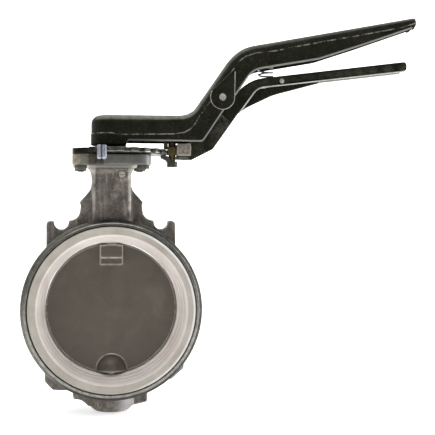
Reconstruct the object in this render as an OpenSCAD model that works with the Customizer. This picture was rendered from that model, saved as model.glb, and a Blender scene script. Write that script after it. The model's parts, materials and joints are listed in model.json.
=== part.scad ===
// Wafer butterfly valve, 4 inch, with a squeeze-latch lever handle.
// The stem axis is Z and the pipe axis is Y; the two cross at the origin.
// Shown closed: the disc lies across the pipe and the handle points along +X.

/* [Body casting] */
// Distance between the two pipe faces of the casting
face_to_face = 52; // [50:1:56]
// Outer radius of the ring at its two end beads
ring_r = 66.7; // [66:0.1:68]
// Outer radius of the ring between the beads
waist_r = 62.6; // [61:0.1:63.5]
// Thickness of the ears, the lower lugs and the column's webs
ear_t = 16; // [12:1:20]
// Radius of the pipe flange's bolt circle
bolt_circle_r = 74.6; // [74:0.1:75.5]
// Radius of a bolt notch
notch_r = 5.5; // [5:0.1:6]
// Width of the column under the top flange, along the handle
column_w = 29.4; // [28:0.2:30]
// Depth of the column, along the pipe
column_d = 28; // [26:0.5:30]
// Radius of the lower stem boss
boss_r = 18; // [17:0.5:19]

/* [Top flange] */
// Width of the square top flange
flange_w = 58; // [57:0.2:58]
// Distance of a flange screw from the stem axis, along X and along Y
flange_screw_at = 22.8; // [22:0.1:23]

/* [Seat and disc] */
// Radius of the disc's spherical rim
disc_r = 49; // [48.5:0.1:49.1]
// Thickness of the disc's plate
disc_t = 9; // [8:0.5:10]
// Radius of the rubber seat's throat
throat_r = 49.3; // [49.3:0.1:49.6]
// Outer radius of the seat's lip
lip_r = 61.3; // [61:0.1:61.6]
// How far the seat's lip stands out of the casting's face
lip_proud = 1; // [0.5:0.1:1.5]

/* [Stems] */
// Radius of the upper stem
stem_r = 7; // [6.8:0.1:7.2]
// Radius of the lower stem
pivot_stem_r = 6; // [5.5:0.1:6.2]
// Width of the square drive on the upper stem
drive_w = 11; // [10.5:0.1:11.4]

/* [Notch plate] */
// Thickness of the notch plate
plate_t = 4; // [3.5:0.1:4]
// Radius of the toothed rim
plate_r = 42; // [41.8:0.1:42.2]
// Width of a notch
plate_notch_w = 5.4; // [5.2:0.1:6]

/* [Handle] */
// Half the handle's width at its hub
hub_half_w = 15.2; // [14.8:0.1:15.4]
// Half the handle's width at the end of the grip
tip_half_w = 9.8; // [9.6:0.1:10.5]
// Thickness of the handle's side walls
wall_t = 2.8; // [2.4:0.1:2.8]
// Thickness of the handle's top
top_t = 4; // [3.5:0.1:4]
// Radius of the trigger's pivot pin
pin_r = 2.2; // [2:0.1:2.4]

/* [Trigger and spring] */
// Half the trigger's width at the finger bar
bar_half_w = 7; // [6:0.1:7]
// Half the trigger's width at the latch arm
arm_half_w = 8; // [7.5:0.1:8]
// Outer radius of the return spring
spring_r = 6.2; // [5.5:0.1:6.4]
// Radius of the spring's wire
wire_r = 0.65; // [0.5:0.05:0.8]
// Turns in the spring
spring_turns = 5; // [4:1:6]

/* [Hidden] */
$fn = 64;
// Gap between a stem and what it turns in
run = 0.06;
// Gap between pieces that are fitted together and don't move
fit = 0.04;
// Gap round small screws and pins in their holes
slack = 0.15;
// Extra length on a cutter, so that it passes right through
cut = 1;

half_f = face_to_face / 2;
// Underside and thickness of the top flange
flange_z = 106.4;
flange_t = 8.6;
seat_bore_r = 56.5;
lip_bore_r = lip_r + 0.8;
lip_depth = 8;
column_bore_r = 9.5;
flange_top = flange_z + flange_t;
plate_top = flange_top + plate_t;
boss_z = -77.2;
boss_bore_r = 8.5;
notch_x = bolt_circle_r * sin(30);
notch_z = bolt_circle_r * cos(30);
screw_places = [for (x = [-1, 1], y = [-1, 1]) [x * flange_screw_at, y * flange_screw_at]];
// Radius of a flange screw, and of the screw that holds the handle
flange_screw_r = 2.5;
screw_r = 3;
column_screw_at = [7.6, 100.2];
column_screw_r = 1.6;
column_head_r = 2.4;

// Notches and stop pins of the notch plate; the latch rests in a notch every 15 degrees
notch_pitch = 15;
notch_depth = 3.8;
stop_angles = [-98.2, -103.1];
stop_r = 1.65;

// Screws that lock the lower stem in the disc, as [x, z]
set_screws = [[-4, -44], [4, -44]];
set_screw_r = 1.5;

// The stem's stack, from the disc up
tang_z = 34;
ring_groove_z = 113;
hub_z = plate_top + 3.2;
drive_top = 137.6;
seat_z = 138.6;

// The handle's flat top over the hub, and the end of its grip
handle_top = 144.8;
handle_end = 238;

// Outer radius of the hub round the drive square, which just meets the side walls, and of the
// lugs round the pivot
hub_r = hub_half_w - wall_t + 0.2;
lug_r = 9.3;

// The trigger's pivot and rivet as [x, z], and the stations of the spring and latch along X
pivot = [83.3, 158.7];
rivet_at = [130, 172.5];
rivet_r = 1.8;
spring_x = 118.5;
spring_low = 176.2;
spring_high = 195.2;
bolt_x = 46.2;
bolt_r = 2.6;
block_screw_x = 54.6;
block_screw_r = 2;
tooth_z = flange_top + 0.4;
// Free play between the latch and the notch plate
play = 0.4;

// Outlines are lists of [x, y, corner radius]
upper_outline = [
    [0, 40, 0], [48.4, 40, 0], [48.4, 65.6, 3], [33, 65.8, 0], [24.2, 66.4, 7],
    [22.8, 77.2, 0], [24, 79.2, 0.8], [15.2, 89, 10], [14.6, 100, 0], [0, 100, 0]
];
lower_left_outline = [
    [0, -40, 0], [-49.6, -40, 0], [-49.6, -54, 3], [-43.6, -60.6, 1], [-29.2, -61.2, 0],
    [-28.4, -67.6, 1], [-22.6, -68.4, 1], [-17, -73, 0], [0, -73, 0]
];
lower_right_outline = [
    [0, -40, 0], [54.6, -36, 0], [54.6, -45.8, 1.5], [45, -54.2, 0], [26.8, -58, 0],
    [26.8, -70.6, 1.2], [17, -72.6, 0], [0, -73, 0]
];
handle_outline = [
    [-hub_half_w, hub_z, 1], [12, hub_z, 0], [12, 125, 0], [68.4, 125, 3], [84, 148.2, 0],
    [94.3, 161.4, 0], [106.8, 179.8, 16], [158, 189, 30], [192, 200.4, 60], [237, 216.4, 3],
    [handle_end, 224.2, 4], [95.8, 196.6, 30], [59.9, handle_top, 18], [-hub_half_w, handle_top, 7]
];
// The inside of the handle's channel, open along its lower side
channel_outline = [
    [0, 100, 0], [0, handle_top - top_t, 6], [62, handle_top - top_t, 15],
    [98.2, 197 - top_t, 26], [233.3, 223.3 - top_t, 3], [240, 190, 0], [200, 100, 0]
];
trigger_outline = [
    [229.2, 189.3, 2.5], [229, 182.3, 2], [110.8, 167.6, 12], [76.5, 119.7, 2.5],
    [61, 111.7, 2], [49, 112.2, 0.5], [49, 114.4, 0], [60.2, 114.4, 0], [60.2, 131.5, 2],
    [66, 141, 4], [78.2, 158.8, 0], [83.5, 164.5, 2], [94.8, 162.4, 3], [105, 173.2, 30]
];
// The part of the trigger that counts as its latch arm
arm_outline = [[40, 100, 0], [95, 100, 0], [95, 136, 0], [66, 160, 0], [40, 160, 0]];
gusset_outline = [
    [95.5, 146.6, 0], [104, 152.4, 12], [124, 162.1, 40], [160, 171.9, 0], [160, 175, 0], [104, 165, 0]
];
keeper_outline = [
    [37.4, 114.7, 0], [37.4, 113, 0.6], [41.6, 111, 3], [42.6, 108, 0], [46, 108, 0],
    [46, 110, 0], [44.3, 113.2, 2], [42.4, 114.7, 0.5]
];

function unit(v) = v / norm(v);

// The points that round the corner b of an outline, between its neighbours a and c
function corner(a, b, c) =
    let (
        p = [b.x, b.y],
        u = unit([a.x, a.y] - p),
        v = unit([c.x, c.y] - p),
        half = acos(u * v) / 2,
        centre = p + unit(u + v) * b.z / sin(half),
        from = p + u * b.z / tan(half) - centre,
        to = p + v * b.z / tan(half) - centre,
        a0 = atan2(from.y, from.x),
        turn = atan2(from.x * to.y - from.y * to.x, from * to),
        n = max(2, ceil(abs(turn) / 9))
    )
    b.z == 0 ? [p] : [for (i = [0:n]) centre + b.z * [cos(a0 + turn * i / n), sin(a0 + turn * i / n)]];

function rounded(o) =
    [for (i = [0:len(o) - 1]) each corner(o[(i + len(o) - 1) % len(o)], o[i], o[(i + 1) % len(o)])];

function rounded_box(w, d, r) =
    rounded([[-w, -d, 2 * r], [w, -d, 2 * r], [w, d, 2 * r], [-w, d, 2 * r]] / 2);

// A side outline in X and Z, given a thickness t along Y
module plate_y(outline, t) {
    rotate([90, 0, 0])
        linear_extrude(t, center = true)
            polygon(rounded(outline));
}

// A profile of [radius, y] turned about the pipe axis
module turned_y(profile) {
    rotate([-90, 0, 0])
        rotate_extrude($fn = 96)
            polygon(profile);
}

// A round bar along Y through the point p = [x, z]
module bar_y(p, r, y0, y1) {
    translate([p.x, y0, p.y])
        rotate([-90, 0, 0])
            cylinder(r = r, h = y1 - y0);
}

module rod(r, z0, z1) {
    translate([0, 0, z0])
        cylinder(r = r, h = z1 - z0);
}

module tube(r_out, r_in, z0, z1) {
    difference() {
        rod(r_out, z0, z1);
        rod(r_in, z0 - cut, z1 + cut);
    }
}

module box(x0, x1, half_y, z0, z1) {
    translate([x0, -half_y, z0])
        cube([x1 - x0, 2 * half_y, z1 - z0]);
}

// Rubber ring that fills the space between a stem and its bore
module o_ring(z, r_in, r_out) {
    r_wire = (r_out - r_in) / 2;
    translate([0, 0, z])
        rotate_extrude()
            translate([r_in + r_wire, 0])
                circle(r = r_wire, $fn = 24);
}

// ---- The fixed valve body ----

module ring_blank() {
    turned_y([
        [0, -half_f], [ring_r - 2.5, -half_f], [ring_r, -half_f + 3], [ring_r, -half_f + 9],
        [waist_r, -half_f + 12], [waist_r, half_f - 12], [ring_r, half_f - 9],
        [ring_r, half_f - 3], [ring_r - 2.5, half_f], [0, half_f]
    ]);
}

module seat_bore() {
    turned_y([
        [0, -half_f - cut], [lip_bore_r, -half_f - cut], [lip_bore_r, -half_f + lip_depth],
        [seat_bore_r, -half_f + lip_depth], [seat_bore_r, half_f - lip_depth],
        [lip_bore_r, half_f - lip_depth], [lip_bore_r, half_f + cut], [0, half_f + cut]
    ]);
}

module bolt_notch() {
    translate([notch_x, 0, notch_z]) {
        rotate([90, 0, 0])
            cylinder(r = notch_r, h = ear_t + 2 * cut, center = true);
        translate([-notch_r, -ear_t / 2 - cut, 0])
            cube([2 * notch_r, ear_t + 2 * cut, 20]);
    }
}

module column() {
    translate([0, 0, 55])
        linear_extrude(flange_z - 55)
            polygon(rounded_box(column_w, column_d, 3));
    // The flare that carries the flange
    hull() {
        translate([0, 0, flange_z - 6])
            linear_extrude(1)
                polygon(rounded_box(column_w, column_d, 3));
        translate([0, 0, flange_z - 1])
            linear_extrude(1)
                polygon(rounded_box(column_w + 7, column_d + 7, 5));
    }
    // Pad for the column screw
    bar_y(column_screw_at, 5, -column_d / 2 - 1, 0);
}

module top_flange() {
    translate([0, 0, flange_z])
        linear_extrude(flange_t)
            polygon(rounded_box(flange_w, flange_w, 10));
}

module lower_boss() {
    rotate_extrude()
        polygon([[0, boss_z], [boss_r - 5.5, boss_z], [boss_r, boss_z + 5.2], [boss_r, -50], [0, -50]]);
}

module body() {
    color("#9a948c")
        difference() {
            union() {
                ring_blank();
                plate_y(upper_outline, ear_t);
                mirror([1, 0, 0])
                    plate_y(upper_outline, ear_t);
                plate_y(lower_left_outline, ear_t);
                plate_y(lower_right_outline, ear_t);
                column();
                top_flange();
                lower_boss();
            }
            seat_bore();
            bolt_notch();
            mirror([1, 0, 0])
                bolt_notch();
            // Column bore, its step at the seat, and the lower stem's bore
            rod(column_bore_r, 62, flange_top + cut);
            rod(stem_r + 0.5, 50, 63);
            rod(boss_bore_r, boss_z - cut, -61);
            rod(pivot_stem_r + 0.5, -62, -50);
            for (p = screw_places)
                translate([p.x, p.y, flange_z - cut])
                    cylinder(r = flange_screw_r + 0.2, h = flange_t + 2 * cut);
            // Hole for the column screw, and a spot face that keeps its head clear of the flare
            bar_y(column_screw_at, column_screw_r + slack, -column_d / 2 - 5, -column_d / 2 + 3.5);
            bar_y(column_screw_at, column_head_r + slack, -column_d / 2 - 5, -column_d / 2 - 1);
        }
}

// Funnel radius of the seat at a distance y from the disc's plane, with three soft ripples
function funnel_r(y) =
    let (t = (y - 8) / (half_f + lip_proud - 8))
    throat_r + 5.6 * pow(t, 0.8) + 0.28 * (1 - cos(1080 * t)) / 2 * (1 - t);

module seat_liner() {
    end = half_f + lip_proud;
    funnel = [for (y = [8:1:floor(end) - 1]) [funnel_r(y), y]];
    lip = [
        [funnel_r(end) + 0.4, end], [lip_r, end], [lip_r, half_f - lip_depth + fit],
        [seat_bore_r - fit, half_f - lip_depth + fit]
    ];
    side = concat(funnel, lip);
    n = len(side);
    color("#e9e2d8")
        difference() {
            turned_y(concat(side, [for (i = [n - 1:-1:0]) [side[i].x, -side[i].y]]));
            rod(stem_r + run, 40, 62);
            rod(pivot_stem_r + run, -62, -40);
        }
}

// The two sleeves that the upper stem turns in
module column_bushings() {
    color("#b08d4a") {
        tube(column_bore_r - fit, stem_r + run, 62, 78);
        tube(column_bore_r - fit, stem_r + run, 90, 107.6);
    }
}

module stem_seals() {
    color("#1c1c1c")
        for (z = [80, 84, 88])
            o_ring(z, stem_r + run, column_bore_r - fit);
}

module gland_ring() {
    color("#a8a8a4")
        tube(column_bore_r - fit, stem_r + run, 107.7, 112);
}

module lower_bushing() {
    color("#b08d4a")
        tube(boss_bore_r - fit, pivot_stem_r + run, -71.5, -64.5);
}

module lower_seal() {
    color("#1c1c1c")
        o_ring(-62.9, pivot_stem_r + run, boss_bore_r - fit);
}

// Screwed plug that closes the lower boss, with a hexagon socket
module bottom_plug() {
    color("#8f8f8c")
        difference() {
            rod(boss_bore_r - fit, boss_z + 0.8, -71.6);
            translate([0, 0, boss_z])
                cylinder(r = 4, h = 4, $fn = 6);
        }
}

// Small screw that locks the bushings from the front of the column
module column_screw() {
    head_y = -column_d / 2 - 1;
    color("#d8d6d0")
        difference() {
            union() {
                bar_y(column_screw_at, column_screw_r, head_y, -column_d / 2 + 3);
                bar_y(column_screw_at, column_head_r, head_y - 1.2, head_y);
            }
            translate([column_screw_at.x - 3, head_y - 2, column_screw_at.y - 0.25])
                cube([6, 1.2, 0.5]);
        }
}

module notch_plate() {
    color("#c9c6bd")
        difference() {
            union() {
                translate([0, 0, flange_top])
                    linear_extrude(plate_t)
                        polygon(rounded_box(flange_w, flange_w, 10));
                rotate([0, 0, -114])
                    rotate_extrude(angle = 138, $fn = 96)
                        translate([0, flange_top])
                            square([plate_r, plate_t]);
            }
            rod(stem_r + 0.6, flange_top - cut, plate_top + cut);
            for (k = [0:6])
                rotate([0, 0, -notch_pitch * k])
                    box(
                        plate_r - notch_depth, plate_r + cut, plate_notch_w / 2,
                        flange_top - cut, plate_top + cut
                    );
            for (p = screw_places)
                translate([p.x, p.y, 0]) {
                    rod(flange_screw_r + 0.2, flange_top - cut, plate_top);
                    translate([0, 0, plate_top - 3])
                        cylinder(r1 = flange_screw_r + 0.1, r2 = 5.5, h = 3.1);
                }
            for (a = stop_angles)
                rotate([0, 0, a])
                    translate([plate_r, 0, 0])
                        rod(stop_r + fit, flange_top - cut, plate_top + cut);
        }
}

// Two pins in the rim, just past the open notch, that end the handle's travel
module stop_pins() {
    color("#d9dde6")
        for (a = stop_angles)
            rotate([0, 0, a])
                translate([plate_r, 0, 0]) {
                    rod(stop_r, 111.4, 120);
                    translate([0, 0, 111.4])
                        sphere(r = stop_r);
                }
}

module flange_screws() {
    color("#8b8a84")
        for (p = screw_places)
            translate([p.x, p.y, 0])
                difference() {
                    union() {
                        rod(flange_screw_r, flange_z - 3.2, plate_top - 2.9);
                        translate([0, 0, plate_top - 3])
                            cylinder(r1 = flange_screw_r, r2 = 5.2, h = 2.9);
                    }
                    translate([0, 0, plate_top - 1.8])
                        cylinder(r = 2, h = 3, $fn = 6);
                }
}

module flange_nuts() {
    color("#6f6c66")
        for (p = screw_places)
            translate([p.x, p.y, 0])
                difference() {
                    translate([0, 0, flange_z - 2.6])
                        cylinder(r = 4.6, h = 2.6, $fn = 6);
                    rod(flange_screw_r + slack, flange_z - 5, flange_z + cut);
                }
}

// ---- What turns with the stem ----

module disc() {
    color("#6c645c")
        difference() {
            intersection() {
                union() {
                    rotate([90, 0, 0])
                        cylinder(r = disc_r + 1, h = disc_t, center = true, $fn = 96);
                    // Hub block around the upper stem's tang
                    for (s = [-1, 1])
                        scale_y(s)
                            rotate([90, 0, 90])
                                linear_extrude(17, center = true)
                                    polygon([[0, 32], [4.4, 32], [10, 38.5], [10, 50], [0, 50]]);
                    // Dome around the lower stem
                    translate([0, 0, -46])
                        sphere(r = 12.3);
                }
                rotate([90, 0, 0])
                    sphere(r = disc_r, $fn = 96);
            }
            stem_tang(slack, 50);
            // Room for the full round of the upper stem, just inside the rim
            rod(stem_r + slack, 45.8, 50);
            rod(pivot_stem_r + fit, -60, -38);
            for (p = set_screws)
                bar_y(p, set_screw_r + slack, -14, 0);
        }
}

// Mirrors its children to the side of Y that s gives
module scale_y(s) {
    if (s < 0)
        mirror([0, 1, 0])
            children();
    else
        children();
}

// The upper stem's flatted end, grown by g, as far up as z1
module stem_tang(g, z1) {
    intersection() {
        rod(6 + g, tang_z - g, z1);
        box(-6.5, 6.5, 4.5 + g, tang_z - cut, z1 + cut);
    }
}

module disc_set_screws() {
    color("#b9b4aa")
        for (p = set_screws)
            difference() {
                bar_y(p, set_screw_r, -11.4, -pivot_stem_r);
                bar_y(p, 0.8, -12, -10.2);
            }
}

module upper_stem() {
    color("#a9aaac")
        difference() {
            union() {
                stem_tang(0, 46.1);
                intersection() {
                    rod(stem_r, 46, drive_top);
                    // Turned below the notch plate's top, squared above it
                    union() {
                        rod(stem_r + cut, 45, plate_top + 0.4);
                        box(-drive_w / 2, drive_w / 2, drive_w / 2, plate_top, drive_top + cut);
                    }
                }
            }
            tube(stem_r + cut, stem_r - 0.9, ring_groove_z, ring_groove_z + 1.2);
            rod(screw_r + slack, 122, drive_top + cut);
        }
}

module lower_stem() {
    color("#a9aaac")
        difference() {
            rod(pivot_stem_r, -71, -38.2);
            for (p = set_screws)
                bar_y(p, set_screw_r + slack, -pivot_stem_r - cut, -3.5);
        }
}

// Open ring in the upper stem's groove, which keeps the stem from being blown out
module retaining_ring() {
    color("#6d6e70")
        difference() {
            tube(8.7, stem_r - 0.85, ring_groove_z + 0.1, ring_groove_z + 1.1);
            box(4, 10, 2.5, ring_groove_z - cut, ring_groove_z + 3);
        }
}

module thrust_washer() {
    color("#b5b3ac")
        difference() {
            rod(11.5, plate_top + 0.4, hub_z);
            box(-drive_w / 2 - fit, drive_w / 2 + fit, drive_w / 2 + fit, plate_top, hub_z + cut);
        }
}

// Plan view of the handle, drawn in by g on each side
module handle_plan(g) {
    tip = handle_end - g;
    side = rounded([
        [0, -hub_half_w + g, 0], [50, -hub_half_w + g, 30], [68, -12.6 + g, 60],
        [tip, -tip_half_w + g, 4], [tip, tip_half_w - g, 4], [68, 12.6 - g, 60],
        [50, hub_half_w - g, 30], [0, hub_half_w - g, 0]
    ]);
    translate([0, 0, 90]) {
        linear_extrude(150)
            polygon(side);
        cylinder(r = hub_half_w - g, h = 150);
    }
}

module handle() {
    color("#25271f")
        difference() {
            union() {
                difference() {
                    intersection() {
                        plate_y(handle_outline, 40);
                        handle_plan(0);
                    }
                    intersection() {
                        plate_y(channel_outline, 40);
                        handle_plan(wall_t);
                    }
                }
                // Hub around the drive square
                rod(hub_r, hub_z, handle_top - 2);
                // Lugs around the pivot pin
                for (s = [-1, 1])
                    scale_y(s)
                        bar_y(pivot, lug_r, 9.7, 13.2);
                // Peg inside the return spring
                translate([spring_x, 0, 0])
                    rod(spring_r - 2 * wire_r - 0.3, 190.4, 198);
            }
            box(-drive_w / 2 - fit, drive_w / 2 + fit, drive_w / 2 + fit, hub_z - cut, seat_z - 1);
            rod(screw_r + 0.4, 130, 150);
            rod(6.2, seat_z, 150);
            bar_y(pivot, pin_r + fit, -20, 20);
        }
}

module handle_washer() {
    color("#8d8d8a")
        tube(6, screw_r + 0.2, seat_z, seat_z + 1.2);
}

// Cap screw that holds the handle on the stem, sunk below the handle's top
module handle_screw() {
    color("#3c3c3a")
        difference() {
            union() {
                rod(screw_r, 124, seat_z + 1.3);
                rod(5, seat_z + 1.2, handle_top - 0.3);
            }
            translate([0, 0, handle_top - 2.6])
                cylinder(r = 2.9, h = 5, $fn = 6);
        }
}

module pivot_pin() {
    color("#cfcfca")
        difference() {
            union() {
                bar_y(pivot, pin_r, -13.6, 13.6);
                for (s = [-1, 1])
                    scale_y(s)
                        bar_y(pivot, pin_r + 0.4, 13.2, 14.1);
            }
            for (s = [-1, 1])
                scale_y(s)
                    bar_y(pivot, 1, 13.6, 15);
        }
}

module pivot_spacers() {
    color("#b9b7b0")
        for (s = [-1, 1])
            scale_y(s)
                difference() {
                    bar_y(pivot, 5, arm_half_w + 0.4, 9.3);
                    bar_y(pivot, pin_r + slack, 7, 11);
                }
}

module trigger_spring() {
    sides = 8;
    per_turn = 20;
    n = spring_turns * per_turn;
    coil_r = spring_r - wire_r;
    rise = spring_high - spring_low - 2 * wire_r;
    points = [
        for (i = [0:n], j = [0:sides - 1])
            let (
                a = 360 * i / per_turn,
                b = 360 * j / sides,
                r = coil_r + wire_r * cos(b)
            )
            [spring_x + r * cos(a), r * sin(a), spring_low + wire_r + rise * i / n + wire_r * sin(b)]
    ];
    sheath = [
        for (i = [0:n - 1], j = [0:sides - 1])
            let (k = (j + 1) % sides)
            [i * sides + j, i * sides + k, (i + 1) * sides + k, (i + 1) * sides + j]
    ];
    ends = [[for (j = [sides - 1:-1:0]) j], [for (j = [0:sides - 1]) n * sides + j]];
    color("#c4c6c8")
        polyhedron(points, concat(sheath, ends));
}

// ---- The trigger and its latch ----

module trigger() {
    color("#22231f")
        difference() {
            union() {
                plate_y(trigger_outline, 2 * bar_half_w);
                // The latch arm is a little wider than the finger bar
                intersection() {
                    plate_y(trigger_outline, 2 * arm_half_w);
                    plate_y(arm_outline, 40);
                }
                plate_y(gusset_outline, 5);
                bar_y(pivot, 6.2, -arm_half_w, arm_half_w);
            }
            bar_y(pivot, pin_r + run, -20, 20);
            bar_y(rivet_at, rivet_r + slack, -20, 20);
            translate([block_screw_x, 0, 0])
                rod(block_screw_r + slack, 110, 116);
        }
}

module trigger_rivet() {
    color("#c8c8c4")
        bar_y(rivet_at, rivet_r, -bar_half_w - 0.5, bar_half_w + 0.5);
}

module latch_block() {
    color("#b9a894")
        difference() {
            rotate([90, 0, 0])
                linear_extrude(2 * arm_half_w + 0.6, center = true)
                    polygon(rounded([
                        [49.2, 114.5, 1.2], [60.1, 114.5, 1.2], [60.1, 123.7, 1.2], [49.2, 123.7, 1.2]
                    ]));
            translate([block_screw_x, 0, 0])
                rod(block_screw_r + slack, 113, 120);
        }
}

// Screw that holds the latch block on the trigger's foot
module block_screw() {
    color("#7d7c78")
        translate([block_screw_x, 0, 0])
            rod(block_screw_r, 112.8, 119.5);
}

module latch_tooth() {
    color("#a9a59c")
        difference() {
            union() {
                box(plate_r - notch_depth + 0.5, 43, plate_notch_w / 2 - play, tooth_z, plate_top - 0.2);
                box(plate_r + 0.6, 49, 3, tooth_z, 121.6);
                box(39.8, 42.9, plate_notch_w / 2 - play, plate_top + 0.7, 124.8);
            }
            translate([bolt_x, 0, 0])
                rod(bolt_r + slack, 110, 130);
        }
}

module latch_bolt() {
    color("#8a7742")
        translate([bolt_x, 0, 0]) {
            rod(bolt_r, 107, 122);
            rod(bolt_r + 0.3, 121.9, 125.1);
        }
}

module latch_keeper() {
    color("#9b9890")
        difference() {
            union() {
                plate_y(keeper_outline, 6);
                translate([bolt_x, 0, 0])
                    rod(4, 106.2, 110.3);
            }
            translate([bolt_x, 0, 0])
                rod(bolt_r + slack, 100, 120);
        }
}

body();
seat_liner();
column_bushings();
stem_seals();
gland_ring();
lower_bushing();
lower_seal();
bottom_plug();
column_screw();
notch_plate();
stop_pins();
flange_screws();
flange_nuts();
disc();
disc_set_screws();
upper_stem();
lower_stem();
retaining_ring();
thrust_washer();
handle();
handle_washer();
handle_screw();
pivot_pin();
pivot_spacers();
trigger_spring();
trigger();
trigger_rivet();
latch_block();
block_screw();
latch_tooth();
latch_bolt();
latch_keeper();
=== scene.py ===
import json
import math

import bmesh
import bpy
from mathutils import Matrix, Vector, noise


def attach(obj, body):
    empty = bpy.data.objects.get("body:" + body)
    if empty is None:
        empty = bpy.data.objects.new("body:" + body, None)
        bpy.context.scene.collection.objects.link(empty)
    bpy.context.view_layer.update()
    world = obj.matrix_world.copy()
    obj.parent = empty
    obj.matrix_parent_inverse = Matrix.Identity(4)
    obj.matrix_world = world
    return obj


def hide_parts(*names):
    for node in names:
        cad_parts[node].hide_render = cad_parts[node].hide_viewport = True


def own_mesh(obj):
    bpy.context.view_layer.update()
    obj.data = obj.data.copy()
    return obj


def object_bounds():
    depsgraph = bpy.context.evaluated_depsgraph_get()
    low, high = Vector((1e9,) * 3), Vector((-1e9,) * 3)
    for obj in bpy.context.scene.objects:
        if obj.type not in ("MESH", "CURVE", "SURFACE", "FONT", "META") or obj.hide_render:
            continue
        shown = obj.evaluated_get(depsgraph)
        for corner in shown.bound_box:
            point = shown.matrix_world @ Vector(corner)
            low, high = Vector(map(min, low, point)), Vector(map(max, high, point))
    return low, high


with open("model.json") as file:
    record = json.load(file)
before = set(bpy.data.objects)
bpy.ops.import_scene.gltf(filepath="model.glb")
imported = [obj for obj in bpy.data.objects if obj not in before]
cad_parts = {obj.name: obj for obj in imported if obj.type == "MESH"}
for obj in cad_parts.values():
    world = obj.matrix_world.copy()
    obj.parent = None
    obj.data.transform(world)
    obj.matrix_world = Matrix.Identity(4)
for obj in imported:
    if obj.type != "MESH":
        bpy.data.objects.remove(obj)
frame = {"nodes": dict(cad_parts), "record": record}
cad_low, cad_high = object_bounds()
nodes = frame["nodes"]
MM = 0.001

# Sizes in mm, in the CAD frame: +Z up the stem, +Y along the pipe, +X along the closed handle
RING_R, WAIST_R, POCKET_R, SEAT_R = 66.7, 62.6, 62.1, 56.5
FACE = 26
THROAT_R, LIP_R = 49.3, 61.3
EAR_HALF_T = 8
COLUMN_HALF_W, COLUMN_HALF_D = 14.7, 14
FLANGE_LOW, FLANGE_TOP, FLANGE_HALF = 106.4, 115, 29
BOSS_R, BOSS_LOW = 18, -77.2
DISC_R, DISC_HALF_T = 49.0, 4.5
DOME_R, DOME_Z = 12.3, -46
HUB_TOP, HUB_LOW, HUB_HALF = 144.8, 122.2, 15.2
HUB_SHOULDER, HUB_RIDGE = 6.4, 131
ARM_LOW = 125
TIP_HIGH, TIP_LOW = (237.5, 223.85), (236.8, 216.3)
PIVOT = (83.3, 158.7)
PAD_IN, PAD_OUT = 11.6, 13.2


# ---------------------------------------------------------------- materials

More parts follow.
